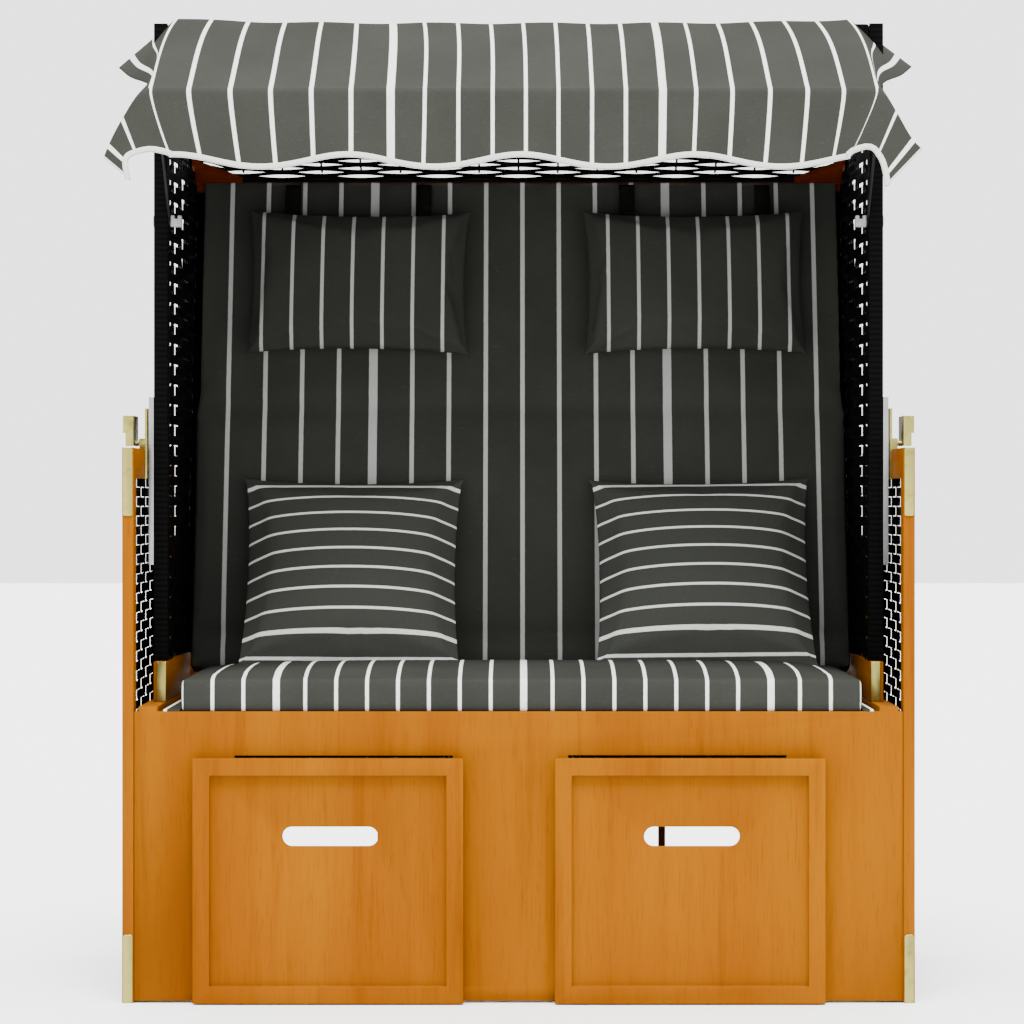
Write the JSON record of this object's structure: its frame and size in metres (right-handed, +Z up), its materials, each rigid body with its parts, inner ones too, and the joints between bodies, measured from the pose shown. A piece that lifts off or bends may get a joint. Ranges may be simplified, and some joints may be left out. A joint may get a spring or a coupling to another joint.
{
  "type": "hooded beach chair",
  "caption": "Two-seat hooded beach chair with a tilting wicker hood, striped awning and cushions, and sliding footrests under the seat.",
  "frame": {"origin": "middle of the bottom of the bounding box, on the floor", "axes": "+Z up, -Y to the front, +X to the right as seen from the front"},
  "size_m": [1.199, 0.8174, 1.467],
  "materials": {
    "wood": "oiled",
    "wicker": "woven",
    "brass": "satin",
    "steel": "satin",
    "black_metal": "satin",
    "grey_plastic": "matte",
    "striped_cloth": "woven"
  },
  "bodies": {
    "base": {"left_side_frame": "wood", "right_side_frame": "wood", "left_side_wicker": "wicker", "right_side_wicker": "wicker", "left_seat_rail": "wood", "right_seat_rail": "wood", "left_outer_runner": "wood", "right_outer_runner": "wood", "left_inner_runner": "wood", "right_inner_runner": "wood", "left_top_corner_plate": "brass", "right_top_corner_plate": "brass", "left_foot_corner_plate": "brass", "right_foot_corner_plate": "brass", "left_latch_bracket": "brass", "right_latch_bracket": "brass", "left_pivot_bolt": "steel", "right_pivot_bolt": "steel", "front_board": "wood", "seat_deck": "wood", "rear_seat_support": "wood", "rear_frame": "wood", "rear_wicker": "wicker", "seat_cushion": "striped_cloth"},
    "hood": {"left_hood_frame": "wicker", "right_hood_frame": "wicker", "left_hood_wicker": "wicker", "right_hood_wicker": "wicker", "left_hood_rail": "wood", "right_hood_rail": "wood", "left_hood_plate": "brass", "right_hood_plate": "brass", "left_corner_brace": "wood", "right_corner_brace": "wood", "left_adjuster_bar": "steel", "right_adjuster_bar": "steel", "left_head_pillow": "striped_cloth", "right_head_pillow": "striped_cloth", "left_lumbar_cushion": "striped_cloth", "right_lumbar_cushion": "striped_cloth", "left_awning_knob": "grey_plastic", "right_awning_knob": "grey_plastic", "roof_front_rail": "wicker", "roof_rear_rail": "wood", "back_bottom_rail": "wicker", "roof_wicker": "wicker", "back_wicker": "wicker", "back_cushion": "striped_cloth"},
    "awning": {"awning_bow": "black_metal", "awning_slope": "striped_cloth", "awning_valance": "striped_cloth"},
    "left_footrest": {"left_footrest_front": "wood", "left_footrest_platform": "wood", "left_footrest_cushion": "striped_cloth"},
    "right_footrest": {"right_footrest_front": "wood", "right_footrest_platform": "wood", "right_footrest_cushion": "striped_cloth"},
    "left_latch": {"left_latch_bolt": "brass"},
    "right_latch": {"right_latch_bolt": "brass"}
  },
  "joints": [
    {"name": "hood_tilt", "type": "hinge", "parent": "base", "child": "hood", "pos_m": [0, 0.2279, 0.745], "axis": [-1, 0, 0], "range_deg": [0, 24]},
    {"name": "awning_swing", "type": "hinge", "parent": "hood", "child": "awning", "pos_m": [0, -0.17101, 1.167], "axis": [-1, 0, 0], "range_deg": [0, 45], "deforming": ["awning_slope"]},
    {"name": "left_footrest_slide", "type": "slide", "parent": "base", "child": "left_footrest", "axis": [0, -1, 0], "range_m": [0, 0.33]},
    {"name": "right_footrest_slide", "type": "slide", "parent": "base", "child": "right_footrest", "axis": [0, -1, 0], "range_m": [0, 0.33]},
    {"name": "left_latch_slide", "type": "slide", "parent": "base", "child": "left_latch", "axis": [1, 0, 0], "range_m": [0, 0.006]},
    {"name": "right_latch_slide", "type": "slide", "parent": "base", "child": "right_latch", "axis": [-1, 0, 0], "range_m": [0, 0.006]}
  ]
}
